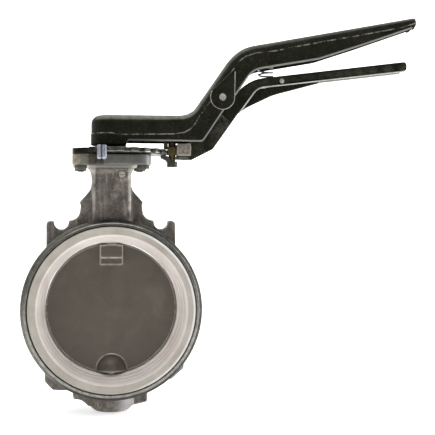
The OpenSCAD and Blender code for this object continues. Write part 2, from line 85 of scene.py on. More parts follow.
class Paint:
    """A material whose look comes from nodes, in the piece's own coordinates."""

    def __init__(self, name, metallic=0.0, roughness=0.5):
        self.material = bpy.data.materials.new(name)
        self.material.use_nodes = True
        self.tree = self.material.node_tree
        self.shader = self.tree.nodes["Principled BSDF"]
        self.shader.inputs["Metallic"].default_value = metallic
        self.shader.inputs["Roughness"].default_value = roughness
        self.place = self.tree.nodes.new("ShaderNodeTexCoord").outputs["Object"]

    def node(self, kind, **settings):
        made = self.tree.nodes.new("ShaderNode" + kind)
        for key, value in settings.items():
            setattr(made, key, value)
        return made

    def link(self, source, target):
        self.tree.links.new(source, target)

    def put(self, value, target):
        """Links a socket, or sets a plain value."""
        if isinstance(value, bpy.types.NodeSocket):
            self.link(value, target)
        else:
            target.default_value = value

    def stretched(self, x, y, z):
        """The piece's coordinates scaled, for a pattern drawn out along an axis."""
        mapping = self.node("Mapping")
        self.link(self.place, mapping.inputs["Vector"])
        mapping.inputs["Scale"].default_value = (x, y, z)
        return mapping.outputs["Vector"]

    def noise(self, scale, detail=4.0, rough=0.55, place=None, bend=0.0):
        made = self.node("TexNoise")
        self.link(place or self.place, made.inputs["Vector"])
        made.inputs["Scale"].default_value = scale
        made.inputs["Detail"].default_value = detail
        made.inputs["Roughness"].default_value = rough
        made.inputs["Distortion"].default_value = bend
        return made.outputs["Fac"]

    def ramp(self, value, *stops):
        """A colour read off the value by stops of (place, colour or grey level)."""
        made = self.node("ValToRGB")
        self.link(value, made.inputs["Fac"])
        marks = made.color_ramp.elements
        while len(marks) < len(stops):
            marks.new(0.5)
        for mark, (at, colour) in zip(marks, stops):
            mark.position = at
            level = colour if hasattr(colour, "__len__") else (colour,) * 3
            mark.color = (*level, 1)
        return made.outputs["Color"]

    def span(self, value, low, high, out_low=0.0, out_high=1.0):
        """out_low where the value is low, out_high where it is high, and smooth between."""
        made = self.node("MapRange", interpolation_type="SMOOTHSTEP")
        self.link(value, made.inputs["Value"])
        for key, number in zip(
            ("From Min", "From Max", "To Min", "To Max"), (low, high, out_low, out_high)
        ):
            made.inputs[key].default_value = number
        return made.outputs["Result"]

    def zone(self, value, low, high, out_low=0.0, out_high=1.0):
        """The same as span, for a place along an axis or a radius, in mm."""
        return self.span(value, low * MM, high * MM, out_low, out_high)

    def mix(self, share, a, b):
        """The colour a, with b laid over it by the share."""
        made = self.node("Mix", data_type="RGBA")
        self.put(share, made.inputs[0])
        for value, at in ((a, 6), (b, 7)):
            if not isinstance(value, bpy.types.NodeSocket):
                value = (*value, 1)
            self.put(value, made.inputs[at])
        return made.outputs[2]

    def maths(self, kind, a, b=0.0):
        """One sum on sockets or plain numbers. b says nothing to a sum of one value."""
        made = self.node("Math", operation=kind)
        self.put(a, made.inputs[0])
        self.put(b, made.inputs[1])
        return made.outputs["Value"]

    def times(self, first, *others):
        for other in others:
            first = self.maths("MULTIPLY", first, other)
        return first

    def axis(self, which):
        """The coordinate along X, Y or Z, in metres."""
        made = self.node("SeparateXYZ")
        self.link(self.place, made.inputs["Vector"])
        return made.outputs[which]

    def radius(self, first, second):
        """The distance from an axis, by two coordinates measured square to it."""
        made = self.node("CombineXYZ")
        self.link(first, made.inputs[0])
        self.link(second, made.inputs[1])
        length = self.node("VectorMath", operation="LENGTH")
        self.link(made.outputs["Vector"], length.inputs[0])
        return length.outputs["Value"]

    def from_axis(self, which):
        """How far a point lies from the plane where the coordinate is 0."""
        return self.maths("ABSOLUTE", self.axis(which))

    def band(self, value, low, high, soft):
        """1 between two heights in mm, and 0 outside them, with a soft edge on each side."""
        rise = self.zone(value, low, low + soft)
        return self.times(rise, self.zone(value, high, high - soft))

    def edges(self, low, high):
        """1 on the mesh's sharp outer edges, read off its pointiness."""
        return self.span(self.node("NewGeometry").outputs["Pointiness"], low, high)

    def upward(self, low, high):
        """1 where the surface normal's Z is at the second value, and 0 at the first."""
        made = self.node("SeparateXYZ")
        self.link(self.node("NewGeometry").outputs["Normal"], made.inputs["Vector"])
        return self.span(made.outputs["Z"], low, high)

    def attribute(self, name):
        """A value that the piece's mesh holds for each vertex."""
        return self.node("Attribute", attribute_name=name).outputs["Fac"]

    def colour(self, value):
        self.put(value, self.shader.inputs["Base Color"])

    def rough(self, value):
        self.put(value, self.shader.inputs["Roughness"])

    def bump(self, height, strength, depth):
        made = self.node("Bump")
        made.inputs["Strength"].default_value = strength
        made.inputs["Distance"].default_value = depth
        self.link(height, made.inputs["Height"])
        self.link(made.outputs["Normal"], self.shader.inputs["Normal"])


def cast_metal():
    """Sand-cast body: mottled brown-grey, streaked down the column, with a grey flange; painted light
    and shade lie on the column's corners, the flange and the boss.
    """
    p = Paint("cast_body", 0.72, 0.5)
    blotch = p.noise(55, 6, 0.62, bend=0.4)
    streak = p.noise(1, 5, 0.65, place=p.stretched(300, 300, 34))
    grain = p.noise(1500, 3, 0.6)
    x, y, z = p.axis("X"), p.axis("Y"), p.axis("Z")
    skin = p.ramp(
        blotch,
        (0.3, (0.075, 0.063, 0.051)), (0.5, (0.135, 0.118, 0.100)), (0.72, (0.28, 0.26, 0.23))
    )
    skin = p.mix(p.span(p.noise(240, 5, 0.7), 0.42, 0.62, 0.0, 0.6), skin, (0.072, 0.058, 0.050))
    skin = p.mix(p.span(streak, 0.5, 0.75, 0.0, 0.75), skin, (0.36, 0.335, 0.315))
    skin = p.mix(p.span(streak, 0.48, 0.25, 0.0, 0.8), skin, (0.065, 0.054, 0.044))
    skin = p.mix(p.span(p.noise(1100, 3, 0.7), 0.56, 0.68, 0.0, 0.45), skin, (0.42, 0.40, 0.37))
    skin = p.mix(p.times(p.edges(0.515, 0.6), 0.75), skin, (0.62, 0.60, 0.57))

    # The column's front corners carry a painted highlight, and the fillet under the flange a band of
    # painted light
    corner = p.times(
        p.zone(p.from_axis("X"), 11.6, 12.4), p.zone(z, 70, 75), p.zone(y, -9.5, -11.5),
        p.span(p.noise(150, 4), 0.3, 0.62, 0.08, 0.62)
    )
    skin = p.mix(corner, skin, (0.50, 0.48, 0.44))
    skin = p.mix(p.zone(z, FLANGE_LOW - 1.8, FLANGE_LOW - 1.0, 0.0, 0.6), skin, (0.52, 0.50, 0.46))

    # The lower boss's turned face carries a painted highlight on its right
    boss_glint = p.times(p.zone(z, -65.5, -67.5), p.zone(p.radius(x, y), BOSS_R + 1.0, BOSS_R + 0.4))
    skin = p.mix(p.times(boss_glint, p.zone(x, 0, 12, 0.0, 0.8)), skin, (0.50, 0.49, 0.49))

    # The flange is grey, with brown, green and tan zones towards its left, partly its own colour and
    # partly painted shade for facets that face other ways, and painted shadow along its top edge
    zone_mottle = p.noise(260, 5, 0.7)
    flange = p.ramp(blotch, (0.3, (0.095, 0.094, 0.085)), (0.7, (0.18, 0.177, 0.168)))
    for edge, dark, light in (
        (-6.0, (0.030, 0.024, 0.017), (0.095, 0.080, 0.064)),
        (-17.2, (0.085, 0.088, 0.068), (0.20, 0.20, 0.165)),
        (-23.3, (0.14, 0.125, 0.085), (0.36, 0.32, 0.24)),
    ):
        zone = p.ramp(zone_mottle, (0.35, dark), (0.65, light))
        flange = p.mix(p.zone(x, edge + 0.6, edge - 0.6), flange, zone)
    # The flange's right end is painted lighter, as a painted highlight
    flange = p.mix(p.zone(x, 24.8, 25.8, 0.0, 0.6), flange, (0.34, 0.335, 0.32))
    # Painted shadow along the flange's top edge, in the gap under the notch plate
    flange = p.mix(p.zone(z, FLANGE_TOP - 1.0, FLANGE_TOP - 0.4), flange, (0.012, 0.011, 0.009))
    skin = p.mix(p.zone(z, FLANGE_LOW - 0.6, FLANGE_LOW + 0.4), skin, flange)

    p.colour(skin)
    p.rough(p.span(blotch, 0.3, 0.7, 0.42, 0.6))
    p.bump(p.maths("ADD", p.times(grain, 0.6), p.noise(420, 4, 0.6)), 0.45, 0.00025)
    return p.material


def machined_metal():
    """The ring: bright turned end faces with fine tool marks, and a dark flank with an olive mottle,
    painted lighter on its left.
    """
    p = Paint("machined_ring", 0.85, 0.32)
    marks = p.noise(1, 3, 0.6, place=p.stretched(300, 300, 300))
    wave = p.node("TexWave", wave_type="RINGS", rings_direction="Y")
    p.link(p.place, wave.inputs["Vector"])
    wave.inputs["Scale"].default_value = 900
    wave.inputs["Distortion"].default_value = 0.6
    face = p.zone(p.from_axis("Y"), FACE - 0.8, FACE - 0.2)
    flank = p.ramp(
        p.noise(300, 5, 0.65),
        (0.3, (0.024, 0.024, 0.018)), (0.55, (0.045, 0.044, 0.036)), (0.75, (0.09, 0.088, 0.076))
    )
    olive = p.ramp(p.noise(330, 5, 0.7), (0.3, (0.060, 0.058, 0.044)), (0.7, (0.19, 0.185, 0.155)))
    # On the left the flank is painted lighter, as painted light, and mottled olive
    flank = p.mix(p.zone(p.axis("X"), -25, -55), flank, olive)
    bright = p.ramp(marks, (0.3, (0.14, 0.137, 0.12)), (0.7, (0.28, 0.275, 0.25)))
    p.colour(p.mix(face, flank, bright))
    p.rough(p.span(face, 0.0, 1.0, 0.42, 0.24))
    p.bump(p.maths("ADD", p.times(wave.outputs["Fac"], 0.3), p.noise(900, 3)), 0.2, 0.0001)
    return p.material


def seat_rubber():
    """Off-white moulded rubber, with a darker lip and a painted highlight on the lip's right."""
    p = Paint("seat_rubber", 0.0, 0.4)
    r = p.radius(p.axis("X"), p.axis("Z"))
    cloud = p.noise(38, 5, 0.6)
    base = p.ramp(cloud, (0.35, (0.68, 0.62, 0.575)), (0.65, (0.84, 0.785, 0.74)))
    lip = p.ramp(cloud, (0.35, (0.33, 0.30, 0.26)), (0.65, (0.44, 0.41, 0.365)))
    skin = p.mix(p.zone(r, 54.8, 56.0), base, lip)
    # The lip's outer edge turns greyer
    skin = p.mix(p.zone(r, LIP_R - 1.3, LIP_R, 0.0, 0.45), skin, (0.42, 0.38, 0.33))
    # Faint darker rings lie in the funnel, and a painted highlight lies on the lip's right
    wave = p.maths("SINE", p.times(r, 2 * math.pi / (1.3 * MM)))
    rings = p.times(
        p.span(wave, 0.2, 0.9), p.zone(r, 55.2, 54.6), p.span(p.noise(30, 3), 0.3, 0.7, 0.1, 0.6)
    )
    skin = p.mix(rings, skin, (0.50, 0.46, 0.40))
    lip_highlight = p.times(p.zone(p.axis("X"), 5, 35), p.zone(r, LIP_R - 1.9, LIP_R - 1.3), 0.8)
    skin = p.mix(lip_highlight, skin, (0.72, 0.71, 0.70))
    fleck = p.span(p.noise(700, 2, 0.5), 0.62, 0.74)
    skin = p.mix(p.times(fleck, 0.4), skin, (0.42, 0.37, 0.31))
    p.colour(skin)
    p.rough(p.span(cloud, 0.3, 0.7, 0.5, 0.66))
    p.shader.inputs["Specular IOR Level"].default_value = 0.3
    p.shader.inputs["Subsurface Weight"].default_value = 0.08
    p.shader.inputs["Subsurface Radius"].default_value = (0.004, 0.003, 0.002)
    p.bump(p.noise(900, 3, 0.6), 0.12, 0.0001)
    return p.material


def disc_metal():
    """Satin taupe disc with soft cloudy marks."""
    p = Paint("disc_metal", 0.35, 0.42)
    cloud = p.noise(42, 6, 0.6, bend=0.6)
    skin = p.ramp(
        cloud,
        (0.3, (0.068, 0.057, 0.043)), (0.55, (0.086, 0.073, 0.056)), (0.75, (0.112, 0.097, 0.077))
    )
    skin = p.mix(p.times(p.edges(0.505, 0.55), 0.8), skin, (0.42, 0.39, 0.34))
    # The hub blocks, which stand out of the plate, have rubbed bevels and a rubbed bend
    x, z = p.axis("X"), p.axis("Z")
    proud = p.zone(p.from_axis("Y"), DISC_HALF_T + 0.1, DISC_HALF_T + 0.5)
    proud = p.times(proud, p.zone(z, 31.5, 32))
    bevel = p.maths("MAXIMUM", p.zone(p.from_axis("X"), 7.6, 8.1), p.zone(z, 33.6, 33.1))
    lines = p.maths("MAXIMUM", bevel, p.band(z, 37.1, 38.6, 0.4))
    worn = p.times(proud, lines, p.span(p.noise(190, 4), 0.3, 0.6, 0.2, 0.75))
    skin = p.mix(worn, skin, (0.40, 0.375, 0.33))
    # A painted highlight runs as an arch round the dome, where it meets the plate
    reach = p.radius(x, p.maths("ADD", z, -DOME_Z * MM))
    arch_highlight = p.times(
        p.zone(reach, DOME_R - 1.5, DOME_R - 0.8), p.zone(reach, DOME_R, DOME_R - 0.6),
        p.span(p.noise(130, 4), 0.3, 0.55, 0.25, 0.75)
    )
    skin = p.mix(arch_highlight, skin, (0.46, 0.43, 0.38))
    # Painted shade darkens the rim where it meets the seat
    rim = p.zone(p.radius(x, z), DISC_R - 1.2, DISC_R - 0.3, 0.0, 0.6)
    p.colour(p.mix(rim, skin, (0.05, 0.042, 0.034)))
    p.rough(p.span(cloud, 0.3, 0.7, 0.36, 0.5))
    p.bump(p.maths("ADD", p.noise(1100, 3, 0.6), p.noise(160, 3)), 0.14, 0.00018)
    return p.material


def black_paint(name, chipped):
    """Near-black olive paint over a rough casting, with painted highlights on its top, its shoulders
    and its lower rim, and a worn ridge line.
    """
    p = Paint(name, 0.0, 0.5)
    p.shader.inputs["Specular IOR Level"].default_value = 0.09
    cloud = p.noise(60, 5, 0.6)
    skin = p.ramp(cloud, (0.3, (0.0038, 0.0040, 0.0020)), (0.7, (0.0110, 0.0113, 0.0060)))
    crackle = p.span(p.noise(420, 6, 0.75, bend=1.5), 0.5, 0.66, 0.0, 0.55)
    skin = p.mix(crackle, skin, (0.034, 0.035, 0.021))
    fleck = p.span(p.noise(900, 4, 0.7), 0.6, 0.7, 0.0, 0.5)
    skin = p.mix(fleck, skin, (0.085, 0.085, 0.065))
    # Upward-facing surfaces are painted lighter, as painted light from above, and the rounded
    # shoulders of the hub and the bend carry a painted highlight
    top_light_mottle = p.span(p.noise(240, 5, 0.65), 0.25, 0.7, 0.45, 1.0)
    skin = p.mix(p.times(p.upward(0.3, 0.85), top_light_mottle, 0.5), skin, (0.050, 0.051, 0.040))
    shoulder = p.times(
        p.upward(0.25, 0.6), p.upward(0.985, 0.90), p.zone(p.axis("X"), 80, 115, 1.0, 0.3),
        p.zone(p.from_axis("Y"), 5.5, 9.0), top_light_mottle, 0.85
    )
    skin = p.mix(shoulder, skin, (0.165, 0.168, 0.140))
    # The handle's mesh says where its worn ridge and its lower rim run; the rim's light line is a
    # painted highlight
    chips = p.span(p.noise(230, 6, 0.75), 0.42, 0.58)
    skin = p.mix(p.times(p.attribute("ridge"), chips), skin, (0.19, 0.187, 0.158))
    skin = p.mix(p.times(p.attribute("rim"), 0.6), skin, (0.32, 0.315, 0.28))
    if chipped:
        worn = p.times(p.edges(0.53, 0.62), p.span(p.noise(170, 5, 0.7), 0.4, 0.62), 0.6)
        skin = p.mix(worn, skin, (0.22, 0.215, 0.18))
    p.colour(skin)
    p.rough(p.span(cloud, 0.3, 0.7, 0.42, 0.58))
    p.bump(p.maths("ADD", p.noise(1000, 4, 0.65), p.noise(260, 3)), 0.45, 0.0003)
    return p.material


def steel(name, dark, light, roughness, scale, metallic=0.9, stretch=(1, 1, 1)):
    """A plain metal finish: blotched plating with finer grain and rubbed edges."""
    p = Paint(name, metallic, roughness)
    blotch = p.noise(scale, 5, 0.65, place=p.stretched(*stretch))
    skin = p.ramp(blotch, (0.32, dark), (0.68, light))
    rubbed = tuple(min(1.0, c * 1.35 + 0.05) for c in light)
    p.colour(p.mix(p.times(p.edges(0.53, 0.65), 0.6), skin, rubbed))
    p.rough(p.span(blotch, 0.3, 0.7, roughness * 0.8, min(1.0, roughness * 1.25)))
    p.bump(p.noise(scale * 6, 3, 0.6), 0.12, 0.0001)
    return p.material


def plate_metal():
    """Dark plated notch plate: greyer and lighter towards its teeth, with painted shade towards its
    left and a painted highlight and shadow along its lower edge.
    """
    p = Paint("plate_zinc", 0.9, 0.36)
    blotch = p.noise(190, 5, 0.65)
    skin = p.ramp(blotch, (0.32, (0.032, 0.032, 0.024)), (0.68, (0.13, 0.13, 0.115)))
    dark = p.ramp(blotch, (0.32, (0.004, 0.004, 0.003)), (0.72, (0.03, 0.029, 0.018)))
    x, z = p.axis("X"), p.axis("Z")
    # Painted shade darkens the plate towards its left, under the handle
    skin = p.mix(p.zone(x, -10, -19), skin, dark)
    # The rim's lower edge carries a painted highlight, with painted shadow below it where the plate
    # sits on the flange
    line = p.times(p.band(z, FLANGE_TOP + 0.4, FLANGE_TOP + 1.5, 0.4), p.zone(x, -7.5, -4.5), 0.75)
    skin = p.mix(line, skin, (0.50, 0.49, 0.46))
    skin = p.mix(p.zone(z, FLANGE_TOP + 0.7, FLANGE_TOP + 0.4), skin, (0.010, 0.010, 0.008))
    p.colour(p.mix(p.times(p.edges(0.53, 0.65), 0.5), skin, (0.36, 0.355, 0.33)))
    p.rough(p.span(blotch, 0.3, 0.7, 0.3, 0.48))
    p.bump(p.noise(1100, 3, 0.6), 0.15, 0.0001)
    return p.material


def block_metal():
    """Rough grey-brown cast block, with a lighter border on its faces."""
    p = Paint("rough_cast", 0.35, 0.6)
    skin = p.ramp(p.noise(620, 5, 0.65), (0.32, (0.075, 0.06, 0.045)), (0.68, (0.34, 0.30, 0.25)))
    # How far each point lies from the block's middle, as a share of its half size
    shares = []
    for which, middle, half in (("X", 54.65, 5.45), ("Z", 119.1, 4.6)):
        away = p.maths("ABSOLUTE", p.maths("SUBTRACT", p.axis(which), middle * MM))
        shares.append(p.maths("DIVIDE", away, half * MM))
    border = p.span(p.maths("MAXIMUM", *shares), 0.80, 0.90, 0.0, 0.7)
    p.colour(p.mix(border, skin, (0.50, 0.48, 0.43)))
    p.bump(p.noise(3000, 3, 0.6), 0.6, 0.0002)
    return p.material


def rubber_black():
    """Black rubber of the hidden seals."""
    p = Paint("black_rubber", 0.0, 0.6)
    p.colour(p.ramp(p.noise(400), (0.3, 0.012), (0.7, 0.03)))
    p.bump(p.noise(1500), 0.15, 0.0001)
    return p.material


def floor_paint():
    """White studio paper that glows a little."""
    p = Paint("studio_floor", 0.0, 0.85)
    p.colour(p.ramp(p.noise(6, 2), (0.3, (0.80, 0.80, 0.80)), (0.7, (0.84, 0.84, 0.84))))
    p.shader.inputs["Emission Color"].default_value = (1, 1, 1, 1)
    p.shader.inputs["Emission Strength"].default_value = 0.6
    return p.material


# The metals, as (dark colour, light colour, roughness, noise scale) and what else differs
METALS = {
    "bronze": ((0.42, 0.28, 0.12), (0.62, 0.44, 0.21), 0.35, 260, {}),
    "turned_steel": ((0.40, 0.40, 0.39), (0.62, 0.62, 0.60), 0.3, 90, {"stretch": (1, 1, 14)}),
    "zinc_steel": ((0.032, 0.032, 0.024), (0.12, 0.12, 0.105), 0.36, 150, {}),
    "pin_steel": ((0.21, 0.22, 0.27), (0.56, 0.58, 0.65), 0.34, 420, {"stretch": (1, 1, 0.35)}),
    "bright_steel": ((0.42, 0.41, 0.38), (0.70, 0.69, 0.66), 0.3, 240, {}),
    "dull_steel": ((0.035, 0.033, 0.026), (0.12, 0.115, 0.10), 0.5, 300, {}),
    "spring_steel": ((0.06, 0.06, 0.055), (0.22, 0.22, 0.21), 0.35, 500, {}),
    "edge_wear_and_highlight": ((0.13, 0.13, 0.11), (0.50, 0.495, 0.46), 0.5, 500, {"metallic": 0.2}),
    "black_screw": ((0.02, 0.02, 0.018), (0.07, 0.07, 0.065), 0.4, 400, {}),
    "yellow_zinc": ((0.03, 0.022, 0.010), (0.13, 0.098, 0.045), 0.38, 260, {}),
}
LOOKS = {name: steel(name, *values, **extra) for name, (*values, extra) in METALS.items()}
LOOKS.update({
    "cast_body": cast_metal(),
    "machined": machined_metal(),
    "seat_rubber": seat_rubber(),
    "black_rubber": rubber_black(),
    "plate_zinc": plate_metal(),
    "disc_metal": disc_metal(),
    "black_paint": black_paint("black_paint", True),
    "handle_paint": black_paint("handle_paint", False),
    "rough_cast": block_metal(),
    "studio_floor": floor_paint(),
})


# ---------------------------------------------------------------- mesh tools

def new_piece(name, mesh, look):
    """An object in the scene, with the mesh and one of the looks."""
    piece = bpy.data.objects.new(name, mesh)
    bpy.context.scene.collection.objects.link(piece)
    mesh.materials.clear()
    mesh.materials.append(LOOKS[look])
    return piece


def from_bmesh(name, bm, look, smooth_below=40):
    """A piece from a bmesh, which is used up."""
    bmesh.ops.recalc_face_normals(bm, faces=bm.faces)
    mesh = bpy.data.meshes.new(name)
    bm.to_mesh(mesh)
    bm.free()
    piece = new_piece(name, mesh, look)
    shade(mesh, smooth_below)
    return piece


def shade(mesh, smooth_below):
    """Smooth shading, with the edges sharper than the angle kept crisp."""
    mesh.polygons.foreach_set("use_smooth", [True] * len(mesh.polygons))
    mesh.set_sharp_from_angle(angle=math.radians(smooth_below))


def apply_modifiers(piece):
    """Makes the piece's mesh what its modifiers give."""
    graph = bpy.context.evaluated_depsgraph_get()
    graph.update()
    made = bpy.data.meshes.new_from_object(piece.evaluated_get(graph))
    piece.modifiers.clear()
    piece.data = made


def node_shape(node):
    """A copy of a CAD node's shape, with its loose triangles joined."""
    bm = bmesh.new()
    bm.from_mesh(nodes[node].data)
    bmesh.ops.remove_doubles(bm, verts=bm.verts, dist=2e-6)
    return bm


def add_bevel(piece, width, segments, angle):
    """Rounds the piece's edges that turn by more than the angle. The width is in mm."""
    bevel = piece.modifiers.new("round", "BEVEL")
    bevel.width = width * MM
    bevel.segments = segments
    bevel.limit_method = "ANGLE"
    bevel.angle_limit = math.radians(angle)
    bevel.use_clamp_overlap = False
    return bevel


def softened(node, look, width):
    """A new piece on a CAD node's shape, with every hard edge rounded to the width in mm."""
    bm = node_shape(node)
    bmesh.ops.dissolve_limit(bm, angle_limit=math.radians(0.6), verts=bm.verts, edges=bm.edges)
    piece = from_bmesh(node + "_piece", bm, look)
    add_bevel(piece, width, 2, 35).harden_normals = True
    return piece


def stands_for(piece, body, slot, *replaced):
    """Says which body the piece rides on and the CAD nodes it replaces. The slot is not used."""
    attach(piece, body)
    if replaced:
        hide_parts(*replaced)


def add_grid(bm, rows, close_rows=False):
    """Faces between neighbouring rows of points. Rows hold the same number of points."""
    made = [[bm.verts.new(p) for p in row] for row in rows]
    pairs = list(zip(made, made[1:]))
    if close_rows:
        pairs.append((made[-1], made[0]))
    for a, b in pairs:
        for i in range(len(a) - 1):
            bm.faces.new((a[i], a[i + 1], b[i + 1], b[i]))
    return made


def add_part(bm, part):
    """Moves the faces of one bmesh into another."""
    mesh = bpy.data.meshes.new("part")
    part.to_mesh(mesh)
    part.free()
    bm.from_mesh(mesh)
    bpy.data.meshes.remove(mesh)


def arc_points(centre, radius, start, stop, steps):
    """Points on an arc between two angles in degrees, with its two ends."""
    angles = (math.radians(start + (stop - start) * k / steps) for k in range(steps + 1))
    return [(centre[0] + radius * math.cos(a), centre[1] + radius * math.sin(a)) for a in angles]


def lathe(name, profile, look):
    """A closed profile of (radius, y) in mm, turned about the pipe axis."""
    steps = 256
    points = [*profile, profile[0]]
    rows = []
    for k in range(steps):
        a = 2 * math.pi * k / steps
        c, s = math.cos(a) * MM, math.sin(a) * MM
        rows.append([(r * c, y * MM, r * s) for r, y in points])
    bm = bmesh.new()
    add_grid(bm, rows, close_rows=True)
    bmesh.ops.remove_doubles(bm, verts=bm.verts, dist=1e-7)
    return from_bmesh(name, bm, look)


def unit(v):
    """The same direction, with a length of 1."""
    return v / v.length


def rounded(points, step=9):
    """An outline of (x, z, corner radius) in mm, with its corners turned into arcs whose points
    lie about a step apart, in degrees."""
    out = []
    for i, (x, z, r) in enumerate(points):
        p = Vector((x, z))
        if r == 0:
            out.append(p)
            continue
        u = unit(Vector(points[i - 1][:2]) - p)
        v = unit(Vector(points[(i + 1) % len(points)][:2]) - p)
        half = u.angle(v) / 2
        centre = p + unit(u + v) * r / math.sin(half)
        a = p + u * r / math.tan(half) - centre
        b = p + v * r / math.tan(half) - centre
        turn = math.atan2(a.x * b.y - a.y * b.x, a.dot(b))
        n = max(2, math.ceil(abs(math.degrees(turn)) / step))
        start = math.atan2(a.y, a.x)
        for k in range(n + 1):
            t = start + turn * k / n
            out.append(centre + r * Vector((math.cos(t), math.sin(t))))
    return out


def add_prism(bm, outline, y0, y1):
    """A solid with the outline (x, z) in mm between two depths along Y."""
    a = [bm.verts.new((p[0] * MM, y0 * MM, p[1] * MM)) for p in outline]
    b = [bm.verts.new((p[0] * MM, y1 * MM, p[1] * MM)) for p in outline]
    bm.faces.new(a)
    bm.faces.new(b[::-1])
    for i in range(len(a)):
        k = (i + 1) % len(a)
        bm.faces.new((a[i], b[i], b[k], a[k]))


def add_sides(bm, rows):
    """Faces between closed rings of vertices, and over the first and last of them."""
    for a, b in zip(rows, rows[1:]):
        for i in range(len(a)):
            k = (i + 1) % len(a)
            bm.faces.new((a[i], a[k], b[k], b[i]))
    bm.faces.new(rows[0][::-1])
    bm.faces.new(rows[-1])


def add_tower(bm, levels):
    """A solid stacked from levels of (z, half width, half depth, corner radius) in mm."""
    rows = []
    for z, w, d, r in levels:
        ring = rounded([(-w, -d, r), (w, -d, r), (w, d, r), (-w, d, r)], 15)
        rows.append([bm.verts.new((p.x * MM, p.y * MM, z * MM)) for p in ring])
    add_sides(bm, rows)


def add_turned(bm, profile, centre=(0, 0), axis="Z", steps=64):
    """A solid turned from a profile of (radius, height) in mm whose two ends lie on the axis."""
    rows = []
    for k in range(steps + 1):
        a = 2 * math.pi * k / steps
        row = []
        for r, h in profile:
            u, v = centre[0] + r * math.cos(a), centre[1] + r * math.sin(a)
            row.append((u * MM, v * MM, h * MM) if axis == "Z" else (u * MM, h * MM, v * MM))
        rows.append(row)
    part = bmesh.new()
    add_grid(part, rows)
    bmesh.ops.remove_doubles(part, verts=part.verts, dist=1e-7)
    bmesh.ops.recalc_face_normals(part, faces=part.faces)
    add_part(bm, part)


def add_tube(bm, rows):
    """A rod from rows of points that each go once round it, with its two ends closed."""
    part = bmesh.new()
    add_grid(part, rows)
    bmesh.ops.remove_doubles(part, verts=part.verts, dist=1e-7)
    bmesh.ops.holes_fill(part, edges=part.edges, sides=len(rows[0]) + 1)
    add_part(bm, part)


def cut(piece, cutter):
    """Takes the cutter's shape out of the piece, and deletes the cutter."""
    tool = piece.modifiers.new("cut", "BOOLEAN")
    tool.operation = "DIFFERENCE"
    tool.solver = "EXACT"
    tool.object = cutter
    apply_modifiers(piece)
    bpy.data.objects.remove(cutter)


def remesh(piece, voxel, smooth):
    """One skin over all of the piece's solids, with soft corners where they meet. Voxel in mm."""
    tool = piece.modifiers.new("skin", "REMESH")
    tool.mode = "VOXEL"
    tool.voxel_size = voxel * MM
    soften = piece.modifiers.new("soften", "SMOOTH")
    soften.factor = 0.5
    soften.iterations = smooth
    apply_modifiers(piece)


def swell(piece, amount):
    """Moves each point along its normal by amount(point) millimetres."""
    # The normals are all read before any point moves, since moving a point changes them
    points = [(v.co.copy(), v.normal.copy()) for v in piece.data.vertices]
    moved = []
    for co, normal in points:
        moved.extend(co + normal * amount(co) * MM)
    piece.data.vertices.foreach_set("co", moved)
    piece.data.update()


# ---------------------------------------------------------------- valve body

def make_ring():
    """The turned ring with its end faces, flanks and waist."""
    front = [
        (POCKET_R, 18), (POCKET_R, FACE - 0.4), (POCKET_R + 0.35, FACE), (63.6, FACE),
        (64.1, 25.75), (66.0, 23.7), (66.5, 23.0), (RING_R, 22.3), (RING_R, 17.4), (66.5, 16.9),
        (66.0, 16.5), (63.2, 14.5), (62.75, 14), (WAIST_R, 13.4)
    ]
    profile = [(SEAT_R, 18), *front, *[(r, -y) for r, y in reversed(front)], (SEAT_R, -18)]
    stands_for(lathe("body_ring", profile, "machined"), "valve_body", "cast_body", "body")


